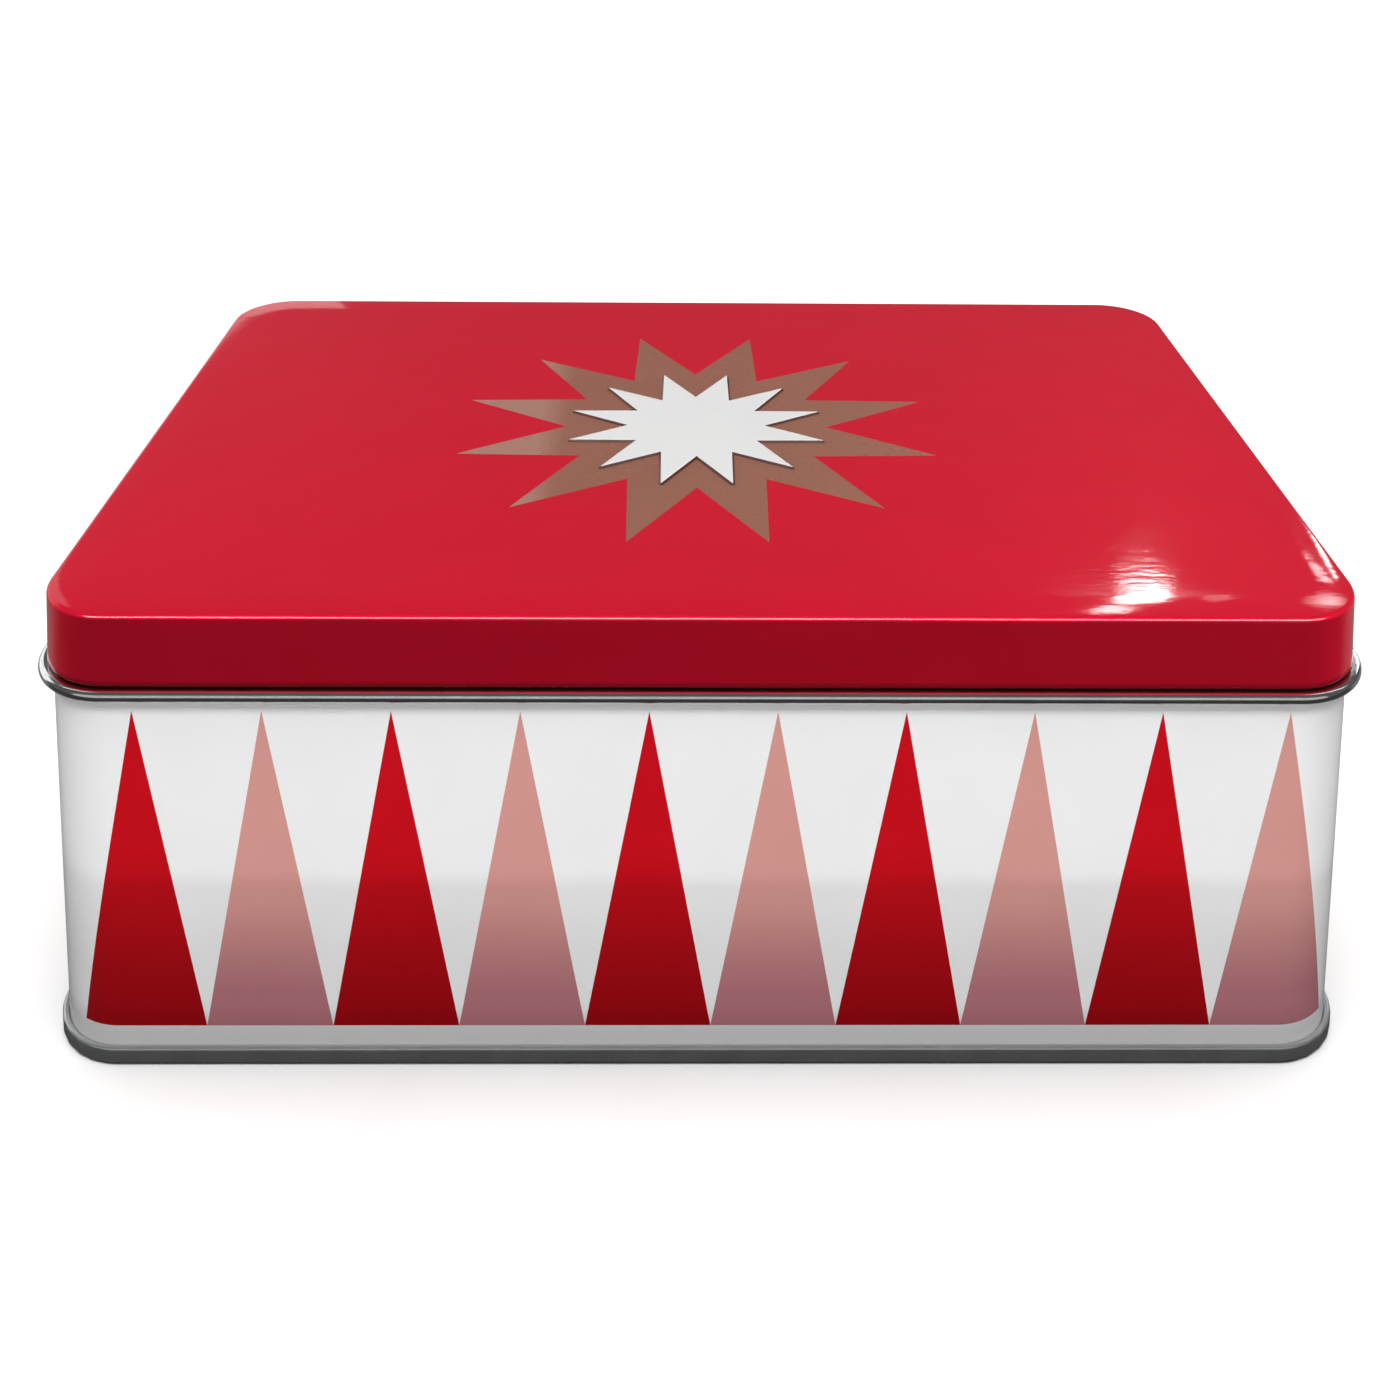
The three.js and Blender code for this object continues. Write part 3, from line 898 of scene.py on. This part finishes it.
# Panes mirrored in the lid: name, where in the lid (mm), lean there (degrees), size, radiance, how soft
PANE_DISTANCE = 2.0
PANES = (
    ("window", (67.0, -58.2), (0, 1.12), (0.066, 0.165), 11.0),
    ("window_head", (67.4, -57.5), (0, 0), (0.066, 0.028), 8.0),
    ("window_haze", (67.0, -58.0), (0, 0.5), (0.28, 0.12), 1.1, 16),
    ("transom", (60.9, -63.9), (0, 3.1), (0.048, 0.1), 9.0),
    ("ripple", (77.9, -60.5), (0, 1.0), (0.035, 0.08), 1.0),
    ("corner_window", (95.0, -60.8), (1.8, 2.1), (0.17, 0.15), 5.0, 9),
    ("side_window", (97.2, -54.0), (1.8, 0), (0.07, 0.02), 9.0),
    ("side_strip", (99.8, -46.0), (3.6, 0), (0.022, 0.09), 9.0),
)

# ---------------------------------------------------------------- stage, lights, camera


def collection(name, members):
    group = bpy.data.collections.new(name)
    for member in members:
        group.objects.link(member)
    return group


def aim(thing, position, target):
    thing.location = position
    thing.rotation_euler = (Vector(target) - Vector(position)).to_track_quat("-Z", "Y").to_euler()


def lamp(name, kind, power, lights, blockers):
    """A light that falls on some pieces only, with shadows from some pieces only."""
    data = bpy.data.lights.new(name, kind)
    data.energy = power
    holder = bpy.data.objects.new(name, data)
    bpy.context.scene.collection.objects.link(holder)
    holder.visible_camera = False
    holder.light_linking.receiver_collection = collection(name + "_lights", lights)
    holder.light_linking.blocker_collection = collection(name + "_blockers", blockers)
    return holder


def softbox(name, position, size, radiance, lights, target=BOX_TARGET, mirrored=False, blockers=ALL):
    """A rectangular light that faces a point. It is only seen mirrored, or it is never mirrored."""
    width, height = size
    box = lamp(name, "AREA", radiance * math.pi * width * height, lights, blockers)
    box.data.shape = "RECTANGLE"
    box.data.size = width
    box.data.size_y = height
    box.visible_glossy = mirrored
    box.visible_diffuse = not mirrored
    aim(box, position, target)
    return box


def mirrored_once(light):
    """Dims a light in the mirror image of a mirror image."""
    nodes = Nodes(light, "Emission")
    depth = nodes.add("LightPath").outputs["Ray Depth"]
    nodes.set(Strength=nodes.math("LESS_THAN", depth, 2.5))


def soften(light, sharpness):
    """Lets an area light fall off smoothly from its middle, by its own surface coordinates."""
    nodes = Nodes(light, "Emission")
    spot = nodes.add("SeparateXYZ", Vector=nodes.add("NewGeometry").outputs["Parametric"])
    across = nodes.math("SUBTRACT", spot.outputs["X"], 0.5)
    up = nodes.math("SUBTRACT", spot.outputs["Y"], 0.5)
    squared = nodes.math("ADD", nodes.math("MULTIPLY", across, across), nodes.math("MULTIPLY", up, up))
    nodes.set(Strength=nodes.math("EXPONENT", nodes.math("MULTIPLY", squared, -sharpness)))


def pane(name, seen_at, lean, size, radiance, sharpness=0):
    """A bright oval pane that the viewpoint sees mirrored at one point (x, y) of the lid.

    There the lid leans by so many degrees towards the right and towards the front."""
    point = Vector((*seen_at, TOP_HEIGHT)) * MM
    right, front = (math.radians(a) for a in lean)
    normal = Vector((math.tan(right), -math.tan(front), 1)).normalized()
    bounced = (point - CAMERA_PLACE).normalized().reflect(normal)
    glass = softbox(name, point + PANE_DISTANCE * bounced, size, radiance, [LID], point, mirrored=True)
    glass.data.shape = "ELLIPSE"
    if sharpness:
        soften(glass.data, sharpness)


def sheet_mesh(name, corners, faces, material):
    mesh = bpy.data.meshes.new(name)
    mesh.from_pydata(corners, [], faces)
    mesh.materials.append(material)
    thing = bpy.data.objects.new(name, mesh)
    bpy.context.scene.collection.objects.link(thing)
    return thing


def pale_floor():
    """White to the camera. In bounced and mirrored light it is dark before the tin and pale behind."""
    nodes = new_material("pale_floor")
    seen = nodes.add("LightPath").outputs["Is Camera Ray"]
    depth = nodes.add("SeparateXYZ", Vector=nodes.position()).outputs["Y"]
    behind = nodes.remap(depth, CAD_LOW.y, CAD_LOW.y + FLOOR_BLEND, 0, 1)
    bounce = nodes.mix(behind, (FLOOR_BEFORE,) * 3, (FLOOR_BEHIND,) * 3)
    colour = nodes.mix(seen, bounce, (FLOOR_WHITE,) * 3)
    nodes.set(Base_Color=colour, Roughness=1.0, Specular_IOR_Level=0.0)
    half = FLOOR_HALF
    corners = [(-half, -half, 0), (half, -half, 0), (half, half, 0), (-half, half, 0)]
    return sheet_mesh("floor", corners, [(0, 1, 2, 3)], nodes.owner)


def flag_ring():
    """A low dark screen round the tin, never seen: it keeps some of the side lights off the walls' foot."""
    nodes = new_material("flag_black")
    nodes.set(Base_Color=rgba((0.02,) * 3), Roughness=1.0)
    x, y = CAD_HIGH.x + FLAG_GAP, CAD_HIGH.y + FLAG_GAP
    foot = [(-x, -y, 0), (x, -y, 0), (x, y, 0), (-x, y, 0)]
    top = [(px, py, FLAG_HEIGHT) for px, py, _ in foot]
    faces = [(i, (i + 1) % 4, 4 + (i + 1) % 4, 4 + i) for i in range(4)]
    flag = sheet_mesh("flag_ring", foot + top, faces, nodes.owner)
    flag.visible_camera = False
    flag.visible_glossy = False
    flag.visible_diffuse = False
    return flag


def studio_world():
    """White to the camera, and a dim room to everything else."""
    sky = bpy.data.worlds.new("studio")
    bpy.context.scene.world = sky
    nodes = Nodes(sky, "Background")
    seen = nodes.add("LightPath").outputs["Is Camera Ray"]
    nodes.set(Color=rgba((1, 1, 1)), Strength=nodes.remap(seen, 0, 1, ROOM_LEVEL, 1))


def studio_lights(floor, flag):
    floor_light = lamp("floor_light", "SUN", FLOOR_LIGHT, [floor], ALL)
    floor_light.data.angle = FLOOR_LIGHT_ANGLE
    for name, x, y, level in SIDES:
        for part, reach, height, depth, open_radiance, screened_radiance in SIDE_BOXES:
            where = (reach * x, reach * y, height)
            size = (SIDE_WIDTH, depth)
            for screen, radiance in (([], open_radiance), ([flag], screened_radiance)):
                if radiance:
                    softbox(name + part, where, size, level * radiance, TIN, blockers=ALL + screen)
    for lights, boxes, panels in ((TIN, TIN_BOXES, TIN_PANELS), ([LID], LID_BOXES, LID_PANELS)):
        for name, where, size, radiance in boxes:
            softbox(name, where, size, radiance, lights)
        for name, where, size, radiance, target in panels:
            softbox(name, where, size, radiance, lights, target, mirrored=True)
    name, where, size, radiance, target = CEILING
    mirrored_once(softbox(name, where, size, radiance, [LID], target, mirrored=True).data)
    for settings in PANES:
        pane(*settings)


def studio_camera():
    lens = bpy.data.cameras.new("camera")
    lens.sensor_width = CAMERA_SENSOR
    lens.lens = CAMERA_LENS
    lens.clip_start = 0.01
    camera = bpy.data.objects.new("camera", lens)
    bpy.context.scene.collection.objects.link(camera)
    turned = Matrix.Rotation(CAMERA_TURN, 4, "Z") @ Matrix.Rotation(math.pi / 2 + CAMERA_PITCH, 4, "X")
    camera.matrix_world = Matrix.Translation(CAMERA_PLACE) @ turned @ Matrix.Rotation(CAMERA_ROLL, 4, "Z")
    bpy.context.scene.camera = camera
    viewpoint = bpy.data.objects.new("viewpoint", None)
    viewpoint.location = CAMERA_PLACE
    bpy.context.scene.collection.objects.link(viewpoint)
    for path, shift in LENS_SHIFTS:
        shift_at_viewpoint(lens, path, shift, camera, viewpoint)


def shift_at_viewpoint(lens, path, shift, camera, viewpoint):
    """The lens shift holds at the viewpoint only: a camera moved elsewhere has none."""
    curve = lens.driver_add(path)
    curve.driver.type = "SUM"
    distance = curve.driver.variables.new()
    distance.type = "LOC_DIFF"
    distance.targets[0].id = camera
    distance.targets[1].id = viewpoint
    while curve.modifiers:
        curve.modifiers.remove(curve.modifiers[0])
    curve.keyframe_points.add(3)
    for key, pair in zip(curve.keyframe_points, ((0, shift), (SHIFT_HOLDS, shift), (SHIFT_ENDS, 0))):
        key.co = pair
        key.interpolation = "LINEAR"


studio_world()
studio_lights(pale_floor(), flag_ring())
studio_camera()
bpy.context.scene.view_settings.view_transform = "Standard"
